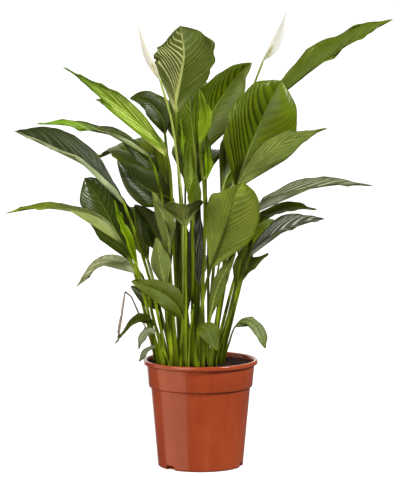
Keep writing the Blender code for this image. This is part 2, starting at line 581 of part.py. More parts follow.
def main():
    clear_scene()
    plant = new_collection("potted_peace_lily")
    helpers = new_collection("cutters", helpers=True)
    grown, young, dry = (0.060, 0.130, 0.012), (0.25, 0.42, 0.03), (0.34, 0.20, 0.13)
    pot(plant, helpers, material("terracotta_coloured_plastic", (0.42, 0.115, 0.045), 0.38))
    feet = []
    round_to_flat = math.cos(math.pi / HOLE_SIDES)
    for name, row in LEAVES.items():
        colour = young if name in YOUNG_LEAVES else dry if name in DRY_LEAVES else grown
        leaf(name, row, plant, material(name, colour, 0.35))
        radius = STALK_RADIUS_AT_SOIL * THIN_STALKS.get(name, 1.0)
        feet.append((row[0][0] * MM, row[0][1] * MM, (radius + HOLE_GAP) / round_to_flat))
    for name, row in FLOWERS.items():
        flower(
            name, row, plant,
            material(name + "_stalk", (0.15, 0.26, 0.03), 0.4),
            material(name + "_spathe", (0.85, 0.84, 0.72), 0.45),
            material(name + "_spadix", (0.75, 0.70, 0.42), 0.6),
        )
        feet.append((row[0][0] * MM, row[0][1] * MM, (FLOWER_STALK_RADIUS + HOLE_GAP) / round_to_flat))
    soil(feet, plant, helpers, material("peat", (0.020, 0.013, 0.009), 0.9))


main()
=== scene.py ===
"""Potted peace lily: the finished look of the plant, its peat and its nursery pot, in metres."""

import math
import random

import bmesh
import bpy
import numpy as np
from mathutils import Matrix, Vector, noise


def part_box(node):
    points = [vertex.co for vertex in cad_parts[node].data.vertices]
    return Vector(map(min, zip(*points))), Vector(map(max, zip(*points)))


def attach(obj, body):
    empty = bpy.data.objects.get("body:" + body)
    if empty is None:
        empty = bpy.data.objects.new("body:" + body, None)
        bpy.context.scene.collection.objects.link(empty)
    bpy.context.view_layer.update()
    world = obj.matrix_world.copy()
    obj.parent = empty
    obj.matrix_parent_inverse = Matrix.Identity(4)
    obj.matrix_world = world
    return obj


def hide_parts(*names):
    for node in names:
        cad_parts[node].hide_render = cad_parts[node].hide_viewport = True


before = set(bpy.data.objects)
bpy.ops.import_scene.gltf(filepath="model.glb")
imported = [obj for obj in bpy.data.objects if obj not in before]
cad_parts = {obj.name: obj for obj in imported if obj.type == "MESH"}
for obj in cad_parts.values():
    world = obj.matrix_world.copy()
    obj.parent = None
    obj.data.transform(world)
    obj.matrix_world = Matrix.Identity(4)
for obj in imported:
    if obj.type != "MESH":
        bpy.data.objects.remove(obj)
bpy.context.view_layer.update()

# --------------------------------------------------
# Studio. A white floor that runs past every edge of the view, in an even white surround. The key is soft and
# high on the right, with weak fills from the left and from behind. A large warm panel stands close on the
# left, and its edge shows as the light band down the pot. The camera stands well back.
# --------------------------------------------------
def linear(code):
    """A linear colour from an sRGB hex code."""
    channels = [int(code[i:i + 2], 16) / 255 for i in (1, 3, 5)]
    return [c / 12.92 if c <= 0.04045 else ((c + 0.055) / 1.055) ** 2.4 for c in channels] + [1.0]


def new_finish(name):
    """An empty node material, its tree and its Principled shader."""
    made = bpy.data.materials.new(name)
    made.use_nodes = True
    return made, made.node_tree, made.node_tree.nodes["Principled BSDF"]


def new_piece(name, bm, finish):
    """The bmesh as a smooth-shaded object at the origin."""
    mesh = bpy.data.meshes.new(name)
    bm.to_mesh(mesh)
    bm.free()
    mesh.shade_smooth()
    mesh.materials.append(finish)
    made = bpy.data.objects.new(name, mesh)
    bpy.context.scene.collection.objects.link(made)
    return made


pot_low, pot_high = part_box("pot")
pot_axis = Vector(((pot_low.x + pot_high.x) / 2, (pot_low.y + pot_high.y) / 2, 0))

FLOOR_REACH = 90  # so wide that its edge never comes into view
FLOOR_GAP = 0.0002  # keeps the floor's face clear of the pot's base
bm = bmesh.new()
bmesh.ops.create_circle(bm, cap_ends=True, segments=64, radius=FLOOR_REACH)
bmesh.ops.translate(bm, verts=bm.verts, vec=(0, 0, pot_low.z - FLOOR_GAP))

paper, tree, shader = new_finish("studio_paper")
# Matt backdrop paper, lit so evenly that it reads as clean white with only a faint shadow on it.
shader.inputs["Base Color"].default_value = linear("#8E8E8E")
shader.inputs["Roughness"].default_value = 0.9
shader.inputs["Specular IOR Level"].default_value = 0.1
shader.inputs["Emission Color"].default_value = (1, 1, 1, 1)
shader.inputs["Emission Strength"].default_value = 0.93
floor = new_piece("studio_floor", bm, paper)
# The paper's own light stays off the plant.
floor.visible_diffuse = False
floor.visible_glossy = False

surround = bpy.data.worlds.new("white_surround")
surround.use_nodes = True
surround.node_tree.nodes["Background"].inputs["Color"].default_value = (1.0, 1.0, 1.0, 1.0)
surround.node_tree.nodes["Background"].inputs["Strength"].default_value = 0.13
bpy.context.scene.world = surround


def new_light(name, kind, place, target, energy, **settings):
    """A lamp at a place, turned to look at a target."""
    data = bpy.data.lights.new(name, kind)
    data.energy = energy
    for key, value in settings.items():
        setattr(data, key, value)
    lamp = bpy.data.objects.new(name, data)
    lamp.location = place
    lamp.rotation_euler = (Vector(target) - Vector(place)).to_track_quat("-Z", "Y").to_euler()
    bpy.context.scene.collection.objects.link(lamp)


HEART = (0, 0, 0.3)  # the middle of the clump, where the suns look
new_light("overhead_key", "SUN", (2.6, -1.5, 2.8), HEART, 3.6, angle=math.radians(12))
new_light("left_fill", "SUN", (-2.0, -3.0, 1.5), HEART, 1.6, angle=math.radians(50))
new_light("back_fill", "SUN", (-0.8, 3.0, 1.3), HEART, 0.9, angle=math.radians(60))
new_light("left_panel", "AREA", (-2.26, -0.87, 0.1), (0, 0, 0.1), 56, shape="RECTANGLE", size=3.5, size_y=3.6,
          color=(1.0, 0.79, 0.58))

CAMERA_BACK, CAMERA_HIGH = 4.4, 0.82  # from the pot's axis and from the floor
CAMERA_TILT = 6.218  # degrees below level
camera_data = bpy.data.cameras.new("camera")
camera_data.sensor_width = 36
camera_data.lens = 225
camera_data.shift_x = -0.001
camera_data.clip_end = 400
camera = bpy.data.objects.new("camera", camera_data)
camera.location = pot_axis + Vector((0, -CAMERA_BACK, CAMERA_HIGH))
camera.rotation_euler = (math.radians(90 - CAMERA_TILT), 0, 0)
bpy.context.scene.collection.objects.link(camera)
bpy.context.scene.camera = camera
bpy.context.scene.view_settings.view_transform = "Standard"

# --------------------------------------------------
# Pot. An injection-moulded polypropylene nursery pot in terracotta brown: one thin turned wall with a rolled
# lip, a stacking collar that steps in to the tapered body, and three drain notches through its foot.
# --------------------------------------------------
RIM = (pot_high.x - pot_low.x) / 2
TALL = pot_high.z - pot_low.z
POT_FLOOR = 0.002
wall_profile = (
    # outside: the rolled lip
    (RIM - 0.0012, TALL), (RIM - 0.0004, TALL - 0.0004), (RIM, TALL - 0.0014), (RIM, TALL - 0.0052),
    (RIM - 0.0003, TALL - 0.0062), (RIM - 0.0012, TALL - 0.0068), (RIM - 0.0042, TALL - 0.0070),
    # the stacking collar and the step in under it
    (RIM - 0.0046, TALL - 0.0076), (RIM - 0.0047, TALL - 0.0095), (RIM - 0.0074, 0.1214),
    (RIM - 0.0077, 0.1204), (RIM - 0.0085, 0.1200), (RIM - 0.0102, 0.1200), (RIM - 0.0107, 0.1194),
    # the tapered body, its rounded foot and the middle of the base
    (RIM - 0.0109, 0.1170), (0.0690, 0.0616), (0.0651, 0.0192), (0.0641, 0.0083), (0.0637, 0.0040),
    (0.0634, 0.0016), (0.0627, 0.0005), (0.0616, 0.0000), (0.0, 0.0000),
    # inside, back up from the floor
    (0.0, POT_FLOOR), (0.0600, POT_FLOOR), (0.0619, POT_FLOOR + 0.0012), (RIM - 0.0119, 0.1185),
    (RIM - 0.0092, 0.1213), (RIM - 0.0061, TALL - 0.0090), (RIM - 0.0058, TALL - 0.0030),
    (RIM - 0.0048, TALL - 0.0008), (RIM - 0.0034, TALL),
)
bm = bmesh.new()
corners = [bm.verts.new((radius, 0, height)) for radius, height in wall_profile]
for a, b in zip(corners, corners[1:] + corners[:1]):
    bm.edges.new((a, b))
bmesh.ops.spin(bm, geom=bm.verts[:] + bm.edges[:], cent=(0, 0, 0), axis=(0, 0, 1), angle=2 * math.pi,
               steps=128, use_merge=True)
bmesh.ops.remove_doubles(bm, verts=bm.verts, dist=1e-6)
bmesh.ops.recalc_face_normals(bm, faces=bm.faces)
bmesh.ops.translate(bm, verts=bm.verts, vec=pot_axis)


def add_node(tree, kind, sockets, out=0, **settings):
    """Adds a shader node and gives its output. sockets are its inputs, as values or as outputs to link."""
    made = tree.nodes.new("ShaderNode" + kind)
    for key, value in settings.items():
        setattr(made, key, value)
    for key, value in sockets.items():
        if isinstance(value, bpy.types.NodeSocket):
            tree.links.new(value, made.inputs[key])
        else:
            made.inputs[key].default_value = value
    return made.outputs[out]


plastic, tree, shader = new_finish("moulded_polypropylene")
# Polypropylene moulded in a brown-orange tone: a satin skin with broad highlights, faint clouds 70 mm across
# and upright flow marks 17 mm apart. Its grain is drawn 1 mm wide, coarser than it is, so that it shows.
place = add_node(tree, "TexCoord", {}, "Object")
stretched = add_node(tree, "Mapping", {"Vector": place, "Scale": (1, 1, 0.12)})
flow = add_node(tree, "TexNoise", {"Vector": stretched, "Scale": 60, "Detail": 4, "Roughness": 0.6})
cloud = add_node(tree, "TexNoise", {"Vector": place, "Scale": 14, "Detail": 3})
grain = add_node(tree, "TexNoise", {"Vector": place, "Scale": 900, "Detail": 2})
tint = add_node(tree, "Math", {0: flow, 1: cloud}, operation="MULTIPLY")
tone = add_node(tree, "ValToRGB", {"Fac": tint})
for stop, (spot, code) in zip(tone.node.color_ramp.elements, ((0.12, "#9A3D1E"), (0.42, "#AC4C26"))):
    stop.position, stop.color = spot, linear(code)
skin = add_node(tree, "Math", {0: flow, 1: grain}, operation="ADD")
bump = add_node(tree, "Bump", {"Height": skin, "Strength": 0.10, "Distance": 0.0001})
sheen = add_node(tree, "MapRange", {"Value": cloud, "To Min": 0.15, "To Max": 0.22})
tree.links.new(tone, shader.inputs["Base Color"])
tree.links.new(bump, shader.inputs["Normal"])
tree.links.new(sheen, shader.inputs["Roughness"])
shader.inputs["IOR"].default_value = 1.49

pot = new_piece("nursery_pot", bm, plastic)
NOTCH = (0.014, 0.017, 0.012)  # through the wall, along it, and up, with half of that below the base
NOTCH_CORNER = 0.0025
FOOT_RADIUS = 0.0635
bm = bmesh.new()
for k in range(3):
    notch = bmesh.ops.create_cube(bm, size=1)["verts"]
    bmesh.ops.scale(bm, vec=NOTCH, verts=notch)
    edges = dict.fromkeys(edge for vert in notch for edge in vert.link_edges)
    through = [edge for edge in edges if abs(edge.verts[0].co.x - edge.verts[1].co.x) > NOTCH[0] / 2]
    bevelled = bmesh.ops.bevel(bm, geom=through, offset=NOTCH_CORNER, offset_type="OFFSET", affect="EDGES",
                               segments=4, profile=0.5, material=-1)
    island = {v for face in bevelled["faces"] for v in face.verts} | {v for v in notch if v.is_valid}
    bmesh.ops.translate(bm, vec=(FOOT_RADIUS, 0, 0), verts=list(island))
    turn = Matrix.Rotation(math.radians(120 * k - 135), 3, "Z")
    bmesh.ops.rotate(bm, matrix=turn, verts=list(island))
bmesh.ops.translate(bm, verts=bm.verts, vec=pot_axis)
cutter = new_piece("notch_cutter", bm, plastic)
cut = pot.modifiers.new("drain notches", "BOOLEAN")
cut.operation = "DIFFERENCE"
cut.solver = "EXACT"
cut.object = cutter
bpy.context.view_layer.update()
cut_mesh = bpy.data.meshes.new_from_object(pot.evaluated_get(bpy.context.evaluated_depsgraph_get()))
pot.modifiers.clear()
pot.data = cut_mesh
cut_mesh.name = "nursery_pot"
bpy.data.objects.remove(cutter)
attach(pot, "root")
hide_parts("pot")

# --------------------------------------------------
# Peat. Damp potting peat pressed to just below the lip: a rough top, a little higher in the middle, with pits
# and lumps, and crumbs of every size lying loose on it. The stems stand in it.
# --------------------------------------------------
soil_low, soil_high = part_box("soil")
SOIL_RADIUS = (soil_high.x - soil_low.x) / 2 - 0.0002
SOIL_TOP = soil_high.z - 0.0035
CROWN, LUMPS, PITS = 0.0024, 0.0022, 0.0008  # heights
SKIRT = 0.02  # how far the modelled side reaches down, inside the pot
SETTLED = 0.0015  # how far the top has sunk
CRUMBS, CRUMB_RISE = 420, 0.0007


def peat_level(x, y):
    """The height of the peat at a place, without its pits: a slight crown with lumps on it."""
    crown = CROWN * (1 - (Vector((x, y)).length / SOIL_RADIUS) ** 2)
    lumps = noise.fractal(Vector((x, y, 3.1)) * 70, 0.9, 2.1, 5) * LUMPS
    return SOIL_TOP + crown + lumps - SETTLED


draw = random.Random(11)
bm = bmesh.new()
bmesh.ops.create_grid(bm, x_segments=110, y_segments=110, size=SOIL_RADIUS)
outside = [v for v in bm.verts if v.co.xy.length > SOIL_RADIUS * 1.012]
bmesh.ops.delete(bm, geom=outside, context="VERTS")
rim = [e for e in bm.edges if e.is_boundary]
for vert in {v for e in rim for v in e.verts}:
    vert.co.xy = vert.co.xy.normalized() * SOIL_RADIUS
for vert in bm.verts:
    x, y = vert.co.xy
    vert.co.z = peat_level(x, y) + noise.noise(Vector((x, y, 9.0)) * 260) * PITS
skirt = bmesh.ops.extrude_edge_only(bm, edges=[e for e in bm.edges if e.is_boundary])["geom"]
for vert in [v for v in skirt if isinstance(v, bmesh.types.BMVert)]:
    vert.co.z = SOIL_TOP - SKIRT
    vert.co.xy *= 0.985
bmesh.ops.holes_fill(bm, edges=[e for e in bm.edges if e.is_boundary])
for _ in range(CRUMBS):
    turn, reach = draw.uniform(0, 2 * math.pi), SOIL_RADIUS * 0.985 * math.sqrt(draw.random())
    size = 0.0007 + 0.0026 * draw.random() ** 3  # few are large
    crumb = bmesh.ops.create_icosphere(bm, subdivisions=1, radius=size)["verts"]
    for vert in crumb:
        vert.co *= draw.uniform(0.65, 1.25)
    spot = Vector((reach * math.cos(turn), reach * math.sin(turn), 0))
    spot.z = peat_level(spot.x, spot.y) + CRUMB_RISE
    bmesh.ops.scale(bm, vec=(1, draw.uniform(0.6, 1), draw.uniform(0.5, 0.9)), verts=crumb)
    bmesh.ops.rotate(bm, matrix=Matrix.Rotation(draw.uniform(0, 6), 3, "Z"), verts=crumb)
    bmesh.ops.translate(bm, vec=spot, verts=crumb)
bmesh.ops.recalc_face_normals(bm, faces=bm.faces)
bmesh.ops.translate(bm, verts=bm.verts, vec=pot_axis)

peat_finish, tree, shader = new_finish("damp_peat")
# Damp sphagnum peat in crumbs about 3 mm wide: nearly black in the pits and warm brown where it has dried,
# matt all over, with hardly any wet glint.
place = add_node(tree, "TexCoord", {}, "Object")
crumbs = add_node(tree, "TexNoise", {"Vector": place, "Scale": 320, "Detail": 6, "Roughness": 0.7})
tone = add_node(tree, "ValToRGB", {"Fac": crumbs})
tone.node.color_ramp.elements.new(0.5)
for stop, (spot, code) in zip(tone.node.color_ramp.elements,
                              ((0.36, "#150E0B"), (0.52, "#281A12"), (0.72, "#543A26"))):
    stop.position, stop.color = spot, linear(code)
bump = add_node(tree, "Bump", {"Height": crumbs, "Strength": 0.8, "Distance": 0.0008})
tree.links.new(tone, shader.inputs["Base Color"])
tree.links.new(bump, shader.inputs["Normal"])
shader.inputs["Roughness"].default_value = 0.85
shader.inputs["Specular IOR Level"].default_value = 0.12
peat = new_piece("peat", bm, peat_finish)
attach(peat, "root")
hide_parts("soil")

# --------------------------------------------------
# Grown leaves. Each grows from the peat as one piece: a round stalk, sheathed low down, that opens into a
# pointed blade with a sunken midrib, a keel beneath it, and side veins that leave the midrib and sweep to the
# tip. Between the veins the blade is puffed up a little, and its edge is waved.
# --------------------------------------------------
BLADE = 0.0006  # thickness of the finished blade
SOLID_BLADE = 0.0007  # thickness of the solid's blade
HALF = 10  # columns of faces on each side of the midrib
STALK_ROW = 0.018  # length of the faces up the stalk
MOST_PUFF = 0.0012  # rise between veins on a broad blade, and less on a narrow one
HOLLOW = 0.0008  # depth of the blade's slow hollows


def steps_from(bm, root, sides):
    """How many edges lie between each vertex and the ring of this many sides nearest the root."""
    front = sorted(bm.verts, key=lambda v: (v.co - root).length)[:sides]
    depth = dict.fromkeys(front, 0)
    while front:
        reached = [edge.other_vert(vert) for vert in front for edge in vert.link_edges]
        front = [vert for vert in dict.fromkeys(reached) if vert not in depth]
        depth.update(dict.fromkeys(front, max(depth.values()) + 1))
    return depth


def rings_of(node, root):
    """The solid's ten-sided rings from the one nearest the root to its tip, upper face first, as an array."""
    bm = bmesh.new()
    bm.from_mesh(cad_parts[node].data)
    bmesh.ops.remove_doubles(bm, verts=bm.verts, dist=1e-6)
    bm.verts.index_update()
    depth = steps_from(bm, root, 10)
    after = {}
    for face in bm.faces:
        loop = list(face.verts)
        for a, b, c in (loop, loop[1:] + loop[:1], loop[2:] + loop[:2]):
            if depth[a] == depth[b] == depth[c] - 1:
                after[a] = b
            elif depth[a] == depth[b] == depth[c] + 1:
                after[b] = a
    rings = []
    for level in range(max(depth.values()) + 1):
        ring = [next(v for v in depth if depth[v] == level)]
        while len(ring) < 10:
            ring.append(after[ring[-1]])
        for turn in range(10 if rings else 0):
            turned = ring[turn:] + ring[:turn]
            if all(any(edge.other_vert(a) is b for edge in a.link_edges) for a, b in zip(rings[-1], turned)):
                ring = turned
                break
        rings.append(ring)
    found = np.array([[v.co[:] for v in ring] for ring in rings])
    bm.free()
    # turn the numbering so that the first and last of the ten are the blade's left edge, upper face first
    wide = max(range(len(found)), key=lambda i: np.ptp(found[i], axis=0).max())
    gaps = np.linalg.norm(found[wide] - np.roll(found[wide], 1, axis=0), axis=1)
    first = int(np.argmin(gaps + np.roll(gaps, 5)))
    for turn in (first, first + 5):
        turned = np.roll(found, -turn, axis=1)
        upper, lower = turned[wide, 0:5], turned[wide, 9:4:-1]
        edges = (upper[0] + upper[4]) / 2 - upper[2]
        if edges @ (upper[2] - lower[2]) > 0:
            break
    return turned


def along_path(places, lengths, at):
    """Points at these distances along a smooth curve through the places, which lie at those lengths."""
    slope = np.gradient(places, lengths, axis=0)
    i = np.clip(np.searchsorted(lengths, at, side="right") - 1, 0, len(lengths) - 2)
    step = (lengths[i + 1] - lengths[i])[..., None]
    t = ((at - lengths[i]) / (lengths[i + 1] - lengths[i]))[..., None]
    a, b = places[i], places[i + 1]
    return ((2 * t**3 - 3 * t**2 + 1) * a + (t**3 - 2 * t**2 + t) * step * slope[i]
            + (3 * t**2 - 2 * t**3) * b + (t**3 - t**2) * step * slope[i + 1])


def lofted(around, marks):
    """A closed skin through rows of points, each once round, with these marks kept on its vertices."""
    rows, columns = around.shape[:2]
    bm = bmesh.new()
    bmesh.ops.create_grid(bm, x_segments=columns - 1, y_segments=rows - 1, size=0.5)
    layers = {key: bm.verts.layers.float.new(key) for key in marks}
    for vert in bm.verts:
        i = round((vert.co.x + 0.5) * (columns - 1))
        j = round((vert.co.y + 0.5) * (rows - 1))
        vert.co = around[j, i]
        for key, layer in layers.items():
            vert[layer] = marks[key][j, i]
    bmesh.ops.remove_doubles(bm, verts=bm.verts, dist=1e-6)
    bmesh.ops.holes_fill(bm, edges=[edge for edge in bm.edges if edge.is_boundary])
    bmesh.ops.recalc_face_normals(bm, faces=bm.faces)
    if bm.calc_volume(signed=True) < 0:
        bmesh.ops.reverse_faces(bm, faces=bm.faces)
    return bm


def unit(vectors):
    """The same directions, at length one."""
    return vectors / np.maximum(np.linalg.norm(vectors, axis=-1, keepdims=True), 1e-12)


def smooth(low, high, x):
    """Climbs from 0 at low to 1 at high, gently at both ends."""
    t = np.clip((x - low) / (high - low), 0, 1)
    return t * t * (3 - 2 * t)


def grow_leaf(node, finish, veins=15, sweep=1.1, arch=1.25, puff=0.8, ripple=0.0022, scallop=0.02,
              nibbled=0.0, sheath=1.0, ribbing=(1.0, 1.0), bloom=(0.0, 0.0), slot="leaf", seed=0):
    """The finished leaf in place of a leaf's solid, along the same path and as wide all the way.

    veins is the number of side veins on each half of the blade. sweep carries them towards the tip, and arch
    bends them. puff is the rise of the strips between them, for which 1 is usual. ripple is the height of the
    edge's waves in metres, and scallop and nibbled its slow and quick ins and outs as shares of the width.
    sheath is how far the stalk's foot opens. ribbing holds, for the left and the right half, how much relief
    there is between veins and how much shade or sheen is painted on the ribs; the pair after it, how much
    grey sheen is painted on that half where it catches the light.
    """
    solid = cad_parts[node].data
    in_peat = [v.co for v in solid.vertices
               if (v.co - pot_axis).xy.length < SOIL_RADIUS and v.co.z < SOIL_TOP - 0.002]
    rings = rings_of(node, sum(in_peat, Vector()) / len(in_peat))
    upper, lower = rings[:, 0:5], rings[:, 9:4:-1]
    high = np.linalg.norm(upper[:, 2] - lower[:, 2], axis=1)
    wide = np.linalg.norm(upper[:, 4] - upper[:, 0], axis=1)
    # the neck is the last round ring, and a round ring of ten is cos 18 degrees as wide as it is high
    flatter = np.abs(wide / high - math.cos(math.radians(18))) > 0.03
    neck = int(np.argmax(flatter)) - 1
    up = unit(upper[:, 2] - lower[:, 2])
    side = unit(upper[:, 4] - upper[:, 0])
    centre = (upper[:, 2] + lower[:, 2]) / 2
    centre[neck + 1:] = upper[neck + 1:, 2] - up[neck + 1:] * SOLID_BLADE / 2
    lengths = np.concatenate([[0], np.cumsum(np.linalg.norm(np.diff(centre, axis=0), axis=1))])
    radius = high / 2
    radius[neck + 1:] = radius[neck]
    bend, reach = lengths[neck], lengths[-1]
    blade_long = reach - bend

    # the blade's own sheet at each ring: no width up to the neck, and half stalk, half blade just past it
    turns = np.radians([162, 126, 90, 54, 18])
    sheet = upper.copy()
    sheet[: neck + 1] = centre[: neck + 1, None]
    round_part = side[neck + 1] * np.cos(turns)[:, None] + up[neck + 1] * np.sin(turns)[:, None]
    round_part = round_part * radius[neck]
    sheet[neck + 1] = centre[neck + 1] + 2 * (upper[neck + 1] - centre[neck + 1] - 0.5 * round_part)
    half_wide = np.linalg.norm(sheet[:, 4] - sheet[:, 0], axis=1) / 2

    # rows: up the stalk, then four to each side vein, each row following a vein from midrib to edge
    stalk_rows = max(6, int(bend / STALK_ROW))
    vein = np.linspace(0, 1, 4 * veins + 1)[1:]
    at_midrib = 0.04 * vein + 0.96 * np.clip((vein - 0.08) / 0.92, 0, 1) ** (1.35 * sweep)
    at_edge = vein ** (0.27 / sweep)
    column = np.linspace(-1, 1, 2 * HALF + 1)
    share = np.abs(column)[None] ** arch
    at = at_midrib[:, None] + (at_edge - at_midrib)[:, None] * share
    at = np.concatenate([np.repeat(np.linspace(0, bend, stalk_rows)[:, None], 2 * HALF + 1, 1),
                         bend + at * blade_long])
    number = np.concatenate([np.zeros(stalk_rows), vein])[:, None] + 0 * at
    blade_at = np.clip((at - bend) / blade_long, 0, 1)

    # columns: four close to the midrib at true distances, the rest evenly out to the edge
    half = np.maximum(np.interp(at, lengths, half_wide), 1e-5)
    rib = radius[neck] * (1 - 0.8 * blade_at)
    steps = np.array([0, 0.55, 1.1, 1.9])
    near = np.minimum(steps[None, None] * rib[..., None] / half[..., None], np.array([0, 0.1, 0.2, 0.3]))
    across = np.zeros_like(at)
    for i, u in enumerate(column):
        k = round(abs(u) * HALF)
        value = near[:, i, k] if k < 4 else near[:, i, 3] + (1 - near[:, i, 3]) * (k - 3) / (HALF - 3)
        across[:, i] = math.copysign(1, u) * value
    left, out = across < 0, np.abs(across)

    # the sheet: a parabola from the midrib through each half's middle to its edge, which goes in and out
    columns = np.stack([along_path(sheet[:, c], lengths, at) for c in range(5)], axis=2)
    u = out[..., None]
    ends = np.where(left[..., None], columns[:, :, 0], columns[:, :, 4])
    mids = np.where(left[..., None], columns[:, :, 1], columns[:, :, 3])
    blade = columns[:, :, 2] * (1 - u) * (1 - 2 * u) + mids * 4 * u * (1 - u) + ends * u * (2 * u - 1)
    draw = np.random.default_rng(seed + 5)
    phase = draw.uniform(0, 6.28, 8)
    mm = at * 1000
    slow = np.sin(mm / 8.1 + np.where(left, phase[0], phase[1]))
    quick = np.sin(mm / 3.4 + np.where(left, phase[2], phase[3]))
    notched = (scallop * slow + nibbled * quick) * out**4
    notched = notched * smooth(0.1, 0.4, blade_at) * (1 - smooth(0.94, 1.0, blade_at))
    blade = columns[:, :, 2] + (blade - columns[:, :, 2]) * (1 + notched)[..., None]

    middle = along_path(centre, lengths, at)
    local_up = unit(along_path(up, lengths, at))
    local_side = unit(along_path(side, lengths, at))
    facing = unit(np.cross(np.gradient(blade, axis=1), np.gradient(blade, axis=0)))
    facing *= np.sign(np.sum(facing * local_up, axis=-1, keepdims=True))
    flat = smooth(-0.004, 0.016, at - bend)[..., None]
    facing = unit(facing * flat + local_up * (1 - flat))

    # relief: puffed strips between side veins, the waved edge, and slow hollows that differ leaf by leaf
    fade = smooth(0.02, 0.16, blade_at) * (1 - smooth(0.9, 1.0, blade_at)) * smooth(0.05, 0.3, out)
    strip = np.abs(np.sin(np.pi * number * veins)) ** 0.7 - 0.6
    right_share = smooth(-0.05, 0.05, across)
    ribbed = ribbing[0] + (ribbing[1] - ribbing[0]) * right_share
    rise = puff * min(MOST_PUFF, 0.028 * half_wide.max())
    lift = rise * ribbed * strip * fade * (1 - 0.45 * out**2)
    for k, (wave_mm, amount) in enumerate(((31, 0.5), (19, 0.3), (47, 0.6))):
        turn = np.where(left, phase[k], phase[k + 3])
        lift = lift + ripple * amount * np.sin(mm * 2 * math.pi / wave_mm + turn) * out**3 * fade
    lift = lift + HOLLOW * np.sin(mm / 23 + phase[6]) * np.sin(out * 4 + phase[7]) * fade
    lift = lift * flat[..., 0]

    groove = np.exp(-(across * half / (rib * 0.75)) ** 2) * rib * 0.55
    keel = np.exp(-(across * half / (rib * 0.95)) ** 2) * rib * 1.5
    thick = BLADE / 2 * (1 - 0.3 * out)
    blade_top = blade + facing * (lift + thick - groove * 0.5)[..., None]
    blade_under = blade + facing * (lift - thick - keel)[..., None]

    # the stalk's round section, slimmer below the neck, and open along its upper side where it is sheathed
    turn = np.radians(84) * column[None]
    size = np.interp(at, lengths, radius) * (0.78 + 0.22 * smooth(0.3, 1.0, at / bend))
    low_down = sheath * (1 - smooth(0.35, 0.75, at / max(bend, 1e-6)))
    reach_out = size * (1 + 0.18 * low_down)
    dip = np.cos(turn) * (1 - 1.25 * low_down) - 0.22 * (1 - low_down) * np.exp(-(column[None] / 0.3) ** 2)
    sideways = local_side * (reach_out * np.sin(turn))[..., None]
    round_top = middle + sideways + local_up * (size * dip)[..., None]
    round_under = middle + sideways - local_up * (size * np.cos(turn) * 1.05)[..., None]
    top = round_top * (1 - flat) + blade_top * flat
    under = round_under * (1 - flat) + blade_under * flat

    # close to a fine point
    taper = (1 - 0.9 * smooth(0.965, 1.0, blade_at))[..., None]
    top = middle + (top - middle) * taper
    under = middle + (under - middle) * taper

    around = np.concatenate([top, under[:, ::-1], top[:, :1]], axis=1)
    mark = {
        # in millimetres, but stretched on a narrow blade, so that its midrib is drawn finer
        "from_midrib": across * half * 1000 / min(1, max(0.25, half_wide.max() / 0.045)),
        "ribbed": ribbed,
        # a grey sheen, painted on the half that catches the light
        "bloom": bloom[0] + (bloom[1] - bloom[0]) * right_share,
        "across": across,
        "vein": number * veins,
        # from -1 at the foot through 0 at the neck to 1 at the tip
        "up_the_leaf": np.where(at < bend, at / max(bend, 1e-6) - 1, blade_at),
    }
    wrapped = {key: np.concatenate([v, v[:, ::-1], v[:, :1]], axis=1) for key, v in mark.items()}
    wrapped["under"] = np.concatenate([0 * at, 0 * at + 1, 0 * at[:, :1]], axis=1)
    leaf = new_piece(node.replace("leaf_", "grown_leaf_"), lofted(around, wrapped), finish)
    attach(leaf, "root")
    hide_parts(node)


